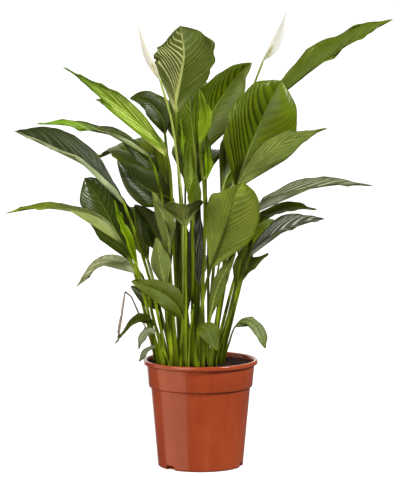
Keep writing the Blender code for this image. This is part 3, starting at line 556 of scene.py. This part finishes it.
def leaf_finish(name, upper, upper_rib, under, under_rib, midrib_tone, rough=0.32, rib_share=0.5,
                rib_width=0.3, shine=0.26, tip=None, tip_share=0.0, stalk=("#72840E", "#5E700C")):
    """A leaf's skin: waxy above, duller below, with ribs of another tone and a paler stalk and midrib.

    rough is the upper side's roughness, and shine the strength of its wax's reflection. rib_share is how far
    the ribs take their own tone, and rib_width their half width as a share of the space between two veins.
    The tip's tone takes over by tip_share towards the blade's end. stalk holds its tones at foot and neck.
    """
    made, tree, shader = new_finish(name)
    colours = {"out": "Result", "data_type": "RGBA"}
    place = add_node(tree, "TexCoord", {}, "Object")
    mark = {key: add_node(tree, "Attribute", {}, "Fac", attribute_name=key)
            for key in ("from_midrib", "across", "vein", "ribbed", "bloom", "up_the_leaf", "under")}
    along = mark["up_the_leaf"]
    # clouds 26 mm across, and a grain drawn 2 mm wide, far coarser than the skin's cells, so that it shows
    cloud = add_node(tree, "TexNoise", {"Vector": place, "Scale": 38, "Detail": 3})
    fine = add_node(tree, "TexNoise", {"Vector": place, "Scale": 420, "Detail": 3})

    # ribs: a line on each side vein and three fainter ones between two, dying out towards edge and tip
    wander = add_node(tree, "Math", {0: fine, 1: 0.12, 2: -0.06}, operation="MULTIPLY_ADD")
    vein = add_node(tree, "Math", {0: mark["vein"], 1: wander}, operation="ADD")
    to_vein = add_node(tree, "Math", {0: vein, 1: 0.5}, operation="PINGPONG")
    main = add_node(tree, "MapRange", {"Value": to_vein, "From Max": rib_width, "To Min": 1, "To Max": 0},
                    interpolation_type="SMOOTHSTEP")
    between = add_node(tree, "Math", {0: vein, 1: 4.0}, operation="MULTIPLY")
    to_small = add_node(tree, "Math", {0: between, 1: 0.5}, operation="PINGPONG")
    small = add_node(tree, "MapRange", {"Value": to_small, "From Max": 0.5, "To Min": 0.12, "To Max": 0})
    ribs = add_node(tree, "Math", {0: main, 1: small}, operation="MAXIMUM")
    out = add_node(tree, "Math", {0: mark["across"]}, operation="ABSOLUTE")
    to_edge = add_node(tree, "MapRange", {"Value": out, "From Min": 0.55, "To Min": 1, "To Max": 0.35})
    to_tip = add_node(tree, "MapRange", {"Value": along, "From Min": 0.72, "From Max": 0.95,
                                         "To Min": 1, "To Max": 0.3})
    on_blade = add_node(tree, "MapRange", {"Value": along, "From Max": 0.06})
    for share in (to_edge, to_tip, on_blade, mark["ribbed"]):
        ribs = add_node(tree, "Math", {0: ribs, 1: share}, operation="MULTIPLY")
    weight = add_node(tree, "Math", {0: ribs, 1: rib_share}, operation="MULTIPLY")

    # blade: plain and rib tones on each side, then a grey sheen painted on the half that catches the light,
    # the tip, and slow light and dark
    above, below = (
        add_node(tree, "Mix", {"Factor": weight, "A": linear(plain), "B": linear(rib)}, **colours)
        for plain, rib in ((upper, upper_rib), (under, under_rib)))
    skin = add_node(tree, "Mix", {"Factor": mark["under"], "A": above, "B": below}, **colours)
    sheen_paint = add_node(tree, "MapRange", {"Value": cloud, "From Min": 0.3, "From Max": 0.6,
                                         "To Min": 0.6, "To Max": 1.1})
    sheen_paint = add_node(tree, "Math", {0: sheen_paint, 1: mark["bloom"]}, operation="MULTIPLY")
    skin = add_node(tree, "Mix", {"Factor": sheen_paint, "A": skin, "B": linear("#98A474")}, **colours)
    if tip:
        near_tip = add_node(tree, "MapRange", {"Value": along, "From Min": 0.4, "From Max": 0.8,
                                               "To Max": tip_share}, interpolation_type="SMOOTHSTEP")
        skin = add_node(tree, "Mix", {"Factor": near_tip, "A": skin, "B": linear(tip)}, **colours)
    shade = add_node(tree, "MapRange", {"Value": cloud, "From Min": 0.3, "From Max": 0.7,
                                        "To Min": 0.82, "To Max": 1.16})
    skin = add_node(tree, "Mix", {"Factor": 1.0, "A": skin, "B": shade}, blend_type="MULTIPLY", **colours)

    # midrib: a band that is wide at the neck, fine at the tip, and fades on its way there
    reach = add_node(tree, "Math", {0: mark["from_midrib"]}, operation="ABSOLUTE")
    narrow = add_node(tree, "MapRange", {"Value": along, "To Min": 2.3, "To Max": 0.6})
    rib_edge = add_node(tree, "Math", {0: reach, 1: narrow}, operation="DIVIDE")
    midrib = add_node(tree, "MapRange", {"Value": rib_edge, "From Min": 0.3, "To Min": 0.85, "To Max": 0},
                      interpolation_type="SMOOTHSTEP")
    fading = add_node(tree, "MapRange", {"Value": along, "From Min": 0.2, "From Max": 0.95,
                                         "To Min": 1, "To Max": 0.3})
    midrib = add_node(tree, "Math", {0: midrib, 1: fading}, operation="MULTIPLY")
    skin = add_node(tree, "Mix", {"Factor": midrib, "A": skin, "B": linear(midrib_tone)}, **colours)

    # stalk: its tone differs from one stalk to the next, and shade is painted on it towards the heart of the
    # clump
    low_down = add_node(tree, "MapRange", {"Value": along, "From Min": -1.0, "From Max": -0.1})
    foot, neck = linear(stalk[0]), linear(stalk[1])
    stem = add_node(tree, "Mix", {"Factor": low_down, "A": foot, "B": neck}, **colours)
    upright = add_node(tree, "Mapping", {"Vector": place, "Scale": (1, 1, 0.05)})
    each = add_node(tree, "TexNoise", {"Vector": upright, "Scale": 110, "Detail": 2})
    each = add_node(tree, "MapRange", {"Value": each, "From Min": 0.36, "From Max": 0.64,
                                       "To Min": 0.35, "To Max": 1.9})
    level = add_node(tree, "Mapping", {"Vector": place, "Location": -pot_axis, "Scale": (1, 1, 0)})
    outward = add_node(tree, "VectorMath", {0: level}, "Value", operation="LENGTH")
    painted_clump_shade = add_node(tree, "MapRange", {"Value": outward, "From Min": 0.012, "From Max": 0.05,
                                          "To Min": 0.4, "To Max": 1.05})
    each = add_node(tree, "Math", {0: each, 1: painted_clump_shade}, operation="MULTIPLY")
    stem = add_node(tree, "Mix", {"Factor": 1.0, "A": stem, "B": each}, blend_type="MULTIPLY", **colours)
    stalked = add_node(tree, "MapRange", {"Value": along, "From Min": -0.01, "From Max": 0.05,
                                          "To Min": 1, "To Max": 0})
    skin = add_node(tree, "Mix", {"Factor": stalked, "A": skin, "B": stem}, **colours)
    tree.links.new(skin, shader.inputs["Base Color"])

    # wax: smooth above, duller beneath, over ribs that are sunk a little
    duller = add_node(tree, "MapRange", {"Value": mark["under"], "To Min": rough, "To Max": rough + 0.2})
    wax = add_node(tree, "Math", {0: fine, 1: 0.12, 2: duller}, operation="MULTIPLY_ADD")
    relief = add_node(tree, "Math", {0: ribs, 1: -1.0, 2: fine}, operation="MULTIPLY_ADD")
    bump = add_node(tree, "Bump", {"Height": relief, "Strength": 0.35, "Distance": 0.0003})
    tree.links.new(wax, shader.inputs["Roughness"])
    tree.links.new(bump, shader.inputs["Normal"])
    shader.inputs["IOR"].default_value = 1.45
    shader.inputs["Specular IOR Level"].default_value = shine
    return made


def grow_leaves(names, finish, slot="leaf", **own_ways):
    """All leaves of one kind. own_ways says, for each leaf unlike the rest, how its veins and edge differ."""
    for seed, name in enumerate(names.split()):
        grow_leaf("leaf_" + name, finish, slot=slot, seed=seed, **own_ways.get(name, {}))


# Old blades, most of them inside the clump: dark green, painted darker for the shade in there, and waxed to a
# hard gloss, with shade painted darker still along their sunk ribs.
grow_leaves(
    "left_glossy left_inner left_narrow_back left_shaded_high inner_dark inner_left_dark "
    "inner_left_narrow low_shaded back_lowest",
    leaf_finish("grown_leaf_dark", "#3C4A08", "#1B2404", "#4A5810", "#7A8440", "#7E8F2E", rough=0.26,
                rib_share=0.7, shine=0.42),
    left_glossy=dict(veins=13, puff=1.1),
    left_inner=dict(veins=12, puff=0.4, ripple=0.0005, scallop=0),
    left_shaded_high=dict(veins=12, puff=0.5),
    inner_dark=dict(puff=0.4, ripple=0.0005, scallop=0))

# Oldest blade: nearly black green, with a grey sheen painted over one half, and thin grey ribs painted as
# highlights.
grow_leaves(
    "left_dark_long",
    leaf_finish("grown_leaf_dusky", "#29320E", "#6E7A54", "#4A5810", "#7A8440", "#7E8F2E", rib_share=0.4,
                rib_width=0.24, shine=0.28),
    left_dark_long=dict(veins=10, puff=0.35, sweep=1.5, bloom=(0.85, 0)))

# Dark blade with a pale grey sheen painted up each of its ribs.
grow_leaves(
    "right_dark middle_dark",
    leaf_finish("grown_leaf_grey_sheen", "#28330A", "#C8CCBA", "#4E5A24", "#848C5C", "#8E9866", rough=0.26,
                rib_share=0.9, rib_width=0.28, shine=0.42),
    right_dark=dict(veins=8, puff=1.4, sweep=1.5),
    middle_dark=dict(veins=6, puff=1.2, sweep=1.5, ribbing=(0.45, 0.45)))

# Low outer blade, worn by water and dust: mid green, nearly matt, with soft darker ribs.
grow_leaves(
    "low_front low_middle low_folded right_shaded",
    leaf_finish("grown_leaf_low", "#56640E", "#303C02", "#58681A", "#84924A", "#7E8C3A", rough=0.46,
                rib_share=0.7),
    low_front=dict(veins=12))

# Full-grown blades in the open and at the back: a fresh mid green, glossy, with shade painted almost black
# along their broad sunk ribs.
grow_leaves(
    "right_big top_right left_high_back middle_front back_high back_left back_right back_middle "
    "back_low_left back_low_right back_high_right right_small right_tiny",
    leaf_finish("grown_leaf_green", "#60720C", "#1C2600", "#58681A", "#84924A", "#9DAE50", rough=0.28,
                rib_share=0.85, rib_width=0.36),
    right_big=dict(veins=12, puff=2.2, arch=1.6, ribbing=(1, 0.2)),
    top_right=dict(veins=12, puff=1.4, arch=1.5, ribbing=(1, 0.25), bloom=(0, 0.1)),
    right_small=dict(veins=7, ribbing=(0.25, 0.25)))

# Grown blade: mid green, with a pale sheen painted along each of its ribs.
grow_leaves(
    "right_front inner_right low_right",
    leaf_finish("grown_leaf_streaked", "#4A5A12", "#B4C080", "#58681A", "#84924A", "#9DAE50", rough=0.3,
                rib_share=0.9, rib_width=0.32),
    right_front=dict(veins=9, puff=1.5, sweep=1.5))

# The same on a long blade that still grows at its end, where it is thin and a clear bright green.
grow_leaves(
    "left_long",
    leaf_finish("grown_leaf_streaked_tip", "#4A5A18", "#B4C080", "#58681A", "#84924A", "#9DAE50", rough=0.3,
                rib_share=0.9, rib_width=0.32, tip="#709A0A", tip_share=0.75),
    left_long=dict(veins=9, scallop=0.08))

# Ripe blade: olive with darker ribs above, and pale ribs on its back.
grow_leaves(
    "right_high middle_facing",
    leaf_finish("grown_leaf_olive", "#5E7008", "#3A4A04", "#56661A", "#B2BC74", "#9AA650", rough=0.34,
                rib_share=0.85),
    right_high=dict(veins=16, sweep=1.5, ripple=0.003, scallop=0.04))

# Short blade with little wax: a soft, greyed sage green on both sides, with darker ribs.
grow_leaves(
    "left_front middle_pale",
    leaf_finish("grown_leaf_sage", "#68763A", "#46541A", "#76843E", "#4A5820", "#8E9A50", rough=0.4,
                rib_share=0.8, rib_width=0.24),
    left_front=dict(veins=9), middle_pale=dict(veins=8))

# Tall blade that turns its back to the front: deep green between raised ribs of a creamy yellow green.
grow_leaves(
    "top",
    leaf_finish("grown_leaf_pale_ribbed", "#5E7008", "#3A4A04", "#4A580A", "#E8F0A4", "#C6D078",
                rib_share=1.0, rib_width=0.24),
    top=dict(veins=12, ripple=0.0036, scallop=0.03, nibbled=0.05, puff=1.8, sweep=1.2, arch=0.9,
             ribbing=(0.12, 1)))

# Broad blade with a matt wax: an even yellow green, with shade painted along its midrib, darker than its
# skin.
grow_leaves(
    "front_pale",
    leaf_finish("grown_leaf_matt", "#60701A", "#3E4C0A", "#687A18", "#8E9C48", "#36440A", rough=0.34,
                rib_share=0.8, rib_width=0.34),
    front_pale=dict(puff=0.9, sweep=1.2, ripple=0.0012, scallop=0.01))

# Arching blade whose upper face catches the light: a grey green with that sheen painted in, and a silvery
# sheen painted along its ribs.
grow_leaves(
    "right_long over_rim low_folded_small",
    leaf_finish("grown_leaf_silvery", "#4C5628", "#BCC0A4", "#6C7438", "#A4AA74", "#9BA568", rough=0.34,
                rib_share=0.9, rib_width=0.3),
    right_long=dict(veins=8, puff=1.0, sweep=1.5, scallop=0.03))

# Drooping blade in full light: a pale grey green with that light painted in, and highlights painted almost
# white along its ribs.
grow_leaves(
    "left_drooping",
    leaf_finish("grown_leaf_bright_streaks", "#748040", "#D4D8BA", "#7E8A50", "#BCC49A", "#B4BC84",
                rough=0.36, rib_share=0.9, rib_width=0.3),
    left_drooping=dict(veins=7, puff=1.2, sweep=1.5))

# Thin blade with the light that shines through it painted in: clear yellow green with very pale ribs and
# hardly any gloss, and deeper green at its tip.
grow_leaves(
    "left_high middle_upright",
    leaf_finish("grown_leaf_light", "#729A00", "#F2F690", "#7A9014", "#AABC58", "#A9C03C", rough=0.36,
                rib_share=1.0, rib_width=0.24, tip="#56700E", tip_share=0.85, shine=0.1),
    left_high=dict(veins=6, puff=1.5, sweep=1.6, scallop=0.06))

# Long outer blade past its best: a tired grey green that turns yellow green at the tip.
grow_leaves(
    "left_low_long",
    leaf_finish("grown_leaf_yellow_tip", "#7C8A40", "#B4BC80", "#7C8C30", "#A8B464", "#93A446", rough=0.42,
                tip="#8FA414", tip_share=0.8),
    left_low_long=dict(veins=12, sweep=1.5))

# --------------------------------------------------
# Young leaves. They grow as the others do, but have only just unrolled from the heart of the clump, or are
# still rolled, so they are small, slim and upright.
# --------------------------------------------------
# Young skin is thin and has its first clean wax: the brightest yellow green here, deeper at the tip.
grow_leaves(
    "young_bright young_small left_rolled spear bud",
    leaf_finish("young_leaf_bright", "#7C9C02", "#AABE1E", "#7E9E0A", "#A6BC34", "#93B030", tip="#4E6C04",
                tip_share=0.6),
    slot="young_leaf")

# --------------------------------------------------
# Withered leaf. An old leaf whose blade has dried to a narrow papery strand. It hangs from its own bent
# stalk, which has turned brown as well and has lost most of its sheath.
# --------------------------------------------------
# Dried leaf tissue: papery pinkish tan, matt and dusty, browner along its ribs and at its foot.
withered = leaf_finish("withered_leaf", "#C4B0A6", "#A6927F", "#C8B6AC", "#A6927F", "#B09A8C", rough=0.6,
                       stalk=("#6E4A32", "#A07A64"))
grow_leaf("leaf_withered", withered, veins=8, sheath=0.3, slot="withered_leaf")

# --------------------------------------------------
# Flower stalks. Each bloom stands on one slim, smooth, leafless stalk that grows from the peat among the
# leaves. It is a little thicker at its foot, and it ends where the hood begins.
# --------------------------------------------------
FLOWERS = ("flower_left", "flower_right")
STALK_SLIMMEST = 0.86  # of its solid's thickness, reached a quarter of the way up
stalk_finish, tree, shader = new_finish("flower_stalk")
# A living stalk: waxy and pale green, with faint streaks up it. They stand for its fibres, and are drawn
# 1.4 mm apart, coarser than they are, so that they show.
place = add_node(tree, "TexCoord", {}, "Object")
long_way = add_node(tree, "Mapping", {"Vector": place, "Scale": (1, 1, 0.06)})
fibre = add_node(tree, "TexNoise", {"Vector": long_way, "Scale": 700, "Detail": 3})
tone = add_node(tree, "ValToRGB", {"Fac": fibre})
for stop, (spot, code) in zip(tone.node.color_ramp.elements, ((0.3, "#7E9220"), (0.7, "#BAC46A"))):
    stop.position, stop.color = spot, linear(code)
bump = add_node(tree, "Bump", {"Height": fibre, "Strength": 0.3, "Distance": 0.0002})
tree.links.new(tone, shader.inputs["Base Color"])
tree.links.new(bump, shader.inputs["Normal"])
shader.inputs["Roughness"].default_value = 0.36
shader.inputs["IOR"].default_value = 1.45

stalk_ends = {}
for flower in FLOWERS:
    bm = bmesh.new()
    bm.from_mesh(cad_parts[flower + "_stalk"].data)
    bmesh.ops.remove_doubles(bm, verts=bm.verts, dist=1e-6)
    lowest = sorted(bm.verts, key=lambda v: v.co.z)[:4]
    depth = steps_from(bm, sum((v.co for v in lowest), Vector()) / 4, 4)
    rings = [[v.co[:] for v in depth if depth[v] == level] for level in range(max(depth.values()) + 1)]
    bm.free()
    middles = np.array([np.mean(ring, axis=0) for ring in rings])
    thick = np.linalg.norm(np.array(rings[1][0]) - middles[1])
    stalk_ends[flower] = Vector(middles[-1])
    lengths = np.concatenate([[0], np.cumsum(np.linalg.norm(np.diff(middles, axis=0), axis=1))])
    at = np.linspace(0, lengths[-1], 90)
    middle = along_path(middles, lengths, at)
    forward = unit(np.gradient(middle, axis=0))
    side = unit(np.cross(forward, (0, 1, 0)))
    other = np.cross(side, forward)
    turn = np.linspace(0, 2 * math.pi, 17)[None, :, None]
    slimming = (1 - STALK_SLIMMEST) * (1 - smooth(0, 0.25, at / lengths[-1]))
    size = (thick * (STALK_SLIMMEST + slimming))[:, None, None]
    around = middle[:, None] + size * (np.cos(turn) * side[:, None] + np.sin(turn) * other[:, None])
    stem = new_piece("grown_" + flower + "_stalk", lofted(around, {}), stalk_finish)
    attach(stem, "root")
    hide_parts(flower + "_stalk")

# --------------------------------------------------
# Spathes. Each is one leaf that turned white: a slim pointed hood that cups the spadix, with faint veins that
# run its whole length, green where it joins the stalk and at its tip.
# --------------------------------------------------
VEIN_RIDGE = 0.0001  # how far the hood's lengthwise veins stand out
HOOD_VEINS = 9
spathe_finish, tree, shader = new_finish("white_spathe")
# A thin waxy petal-like leaf: creamy white and a little see-through, with a faint painted glow that lifts its
# shaded side.
across = add_node(tree, "Attribute", {}, "Fac", attribute_name="across")
up_it = add_node(tree, "Attribute", {}, "Fac", attribute_name="up_the_leaf")
out = add_node(tree, "Math", {0: across}, operation="ABSOLUTE")
near_rib = add_node(tree, "MapRange", {"Value": out, "From Max": 0.16, "To Min": 0.45, "To Max": 0},
                    interpolation_type="SMOOTHSTEP")
low_part = add_node(tree, "MapRange", {"Value": up_it, "From Max": 0.26, "To Min": 0.9, "To Max": 0},
                    interpolation_type="SMOOTHSTEP")
tip_part = add_node(tree, "MapRange", {"Value": up_it, "From Min": 0.9, "To Max": 0.6})
green = add_node(tree, "Math", {0: near_rib, 1: low_part}, operation="MAXIMUM")
green = add_node(tree, "Math", {0: green, 1: tip_part}, operation="MAXIMUM")
veins = add_node(tree, "Math", {0: across, 1: HOOD_VEINS}, operation="MULTIPLY")
veins = add_node(tree, "Math", {0: veins, 1: 0.5}, operation="PINGPONG")
tone = add_node(tree, "Mix", {"Factor": veins, "A": linear("#E9E6DA"), "B": linear("#F6F4EB")}, "Result",
                data_type="RGBA")
tone = add_node(tree, "Mix", {"Factor": green, "A": tone, "B": linear("#B9CB7C")}, "Result", data_type="RGBA")
bump = add_node(tree, "Bump", {"Height": veins, "Strength": 0.4, "Distance": 0.0003})
tree.links.new(tone, shader.inputs["Base Color"])
tree.links.new(bump, shader.inputs["Normal"])
shader.inputs["Roughness"].default_value = 0.42
shader.inputs["Subsurface Weight"].default_value = 0.3
shader.inputs["Subsurface Radius"].default_value = (1.0, 0.9, 0.7)
shader.inputs["Subsurface Scale"].default_value = 0.004
shader.inputs["Emission Color"].default_value = linear("#F2F0E4")
shader.inputs["Emission Strength"].default_value = 0.2

for flower in FLOWERS:
    rings = rings_of(flower + "_spathe", stalk_ends[flower])
    centre = rings.mean(axis=1)
    lengths = np.concatenate([[0], np.cumsum(np.linalg.norm(np.diff(centre, axis=0), axis=1))])
    at = lengths[-1] * np.linspace(0, 1, 70) ** 1.1
    fine = np.stack([along_path(rings[:, c], lengths, at) for c in range(10)], axis=1)
    five, column = np.linspace(-1, 1, 5), np.linspace(-1, 1, 25)
    top = np.stack([along_path(row[0:5], five, column) for row in fine])
    under = np.stack([along_path(row[9:4:-1], five, column) for row in fine])
    rise = (at / lengths[-1])[:, None, None]
    thin = 1 - 0.45 * np.abs(column)[None, :, None] * smooth(0.05, 0.2, rise)
    middle, half = (top + under) / 2, (top - under) / 2
    ridges = VEIN_RIDGE * np.cos(column * HOOD_VEINS * math.pi)[None, :, None]
    ridges = ridges * smooth(0.1, 0.3, rise) * (1 - rise)
    facing = unit(half)
    top, under = middle + half * thin + facing * ridges, middle - half * thin + facing * ridges
    around = np.concatenate([top, under[:, ::-1], top[:, :1]], axis=1)
    mark = {"across": column[None] + 0 * at[:, None], "up_the_leaf": rise[..., 0] + 0 * column[None]}
    wrapped = {key: np.concatenate([v, v[:, ::-1], v[:, :1]], axis=1) for key, v in mark.items()}
    spathe = new_piece("grown_" + flower + "_spathe", lofted(around, wrapped), spathe_finish)
    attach(spathe, "root")
    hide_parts(flower + "_spathe")

# --------------------------------------------------
# Spadices. Each is a short blunt spike of flesh, packed all round with tiny cream florets that stand out as
# knobs in crossing spirals.
# --------------------------------------------------
FLORETS = 170
FLORET_SIZE = 0.2  # of the spike's radius
GOLDEN_TURN = math.pi * (3 - math.sqrt(5))  # from one floret to the next
spadix_finish, tree, shader = new_finish("packed_florets")
# Matt, fleshy florets: cream, speckled greener, in specks a millimetre wide.
place = add_node(tree, "TexCoord", {}, "Object")
speckle = add_node(tree, "TexNoise", {"Vector": place, "Scale": 900, "Detail": 2})
tone = add_node(tree, "ValToRGB", {"Fac": speckle})
for stop, (spot, code) in zip(tone.node.color_ramp.elements, ((0.35, "#C9C98A"), (0.65, "#EFE6C0"))):
    stop.position, stop.color = spot, linear(code)
tree.links.new(tone, shader.inputs["Base Color"])
shader.inputs["Roughness"].default_value = 0.7

for flower in FLOWERS:
    solid = np.array([v.co[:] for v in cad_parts[flower + "_spadix"].data.vertices])
    middle = (solid.min(axis=0) + solid.max(axis=0)) / 2
    directions = np.linalg.eigh(np.cov((solid - middle).T))[1]
    axis = Vector(directions[:, -1])
    along = (solid - middle) @ directions[:, -1]
    long, thick = np.ptp(along) / 2, np.sqrt((((solid - middle) ** 2).sum(axis=1) - along**2).max())
    bm = bmesh.new()
    bmesh.ops.create_uvsphere(bm, u_segments=20, v_segments=16, radius=1)
    bmesh.ops.scale(bm, vec=(thick * 0.88, thick * 0.88, long * 0.96), verts=bm.verts)
    for k in range(FLORETS):
        height = 1 - 2 * (k + 0.5) / FLORETS
        ring_radius = thick * 0.84 * math.sqrt(1 - height * height)
        knob = bmesh.ops.create_icosphere(bm, subdivisions=1, radius=thick * FLORET_SIZE)["verts"]
        spot = (ring_radius * math.cos(k * GOLDEN_TURN), ring_radius * math.sin(k * GOLDEN_TURN),
                long * 0.93 * height)
        bmesh.ops.translate(bm, vec=spot, verts=knob)
    turn = Vector((0, 0, 1)).rotation_difference(axis).to_matrix()
    bmesh.ops.rotate(bm, matrix=turn, verts=bm.verts)
    bmesh.ops.translate(bm, vec=middle, verts=bm.verts)
    spadix = new_piece("grown_" + flower + "_spadix", bm, spadix_finish)
    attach(spadix, "root")
    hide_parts(flower + "_spadix")
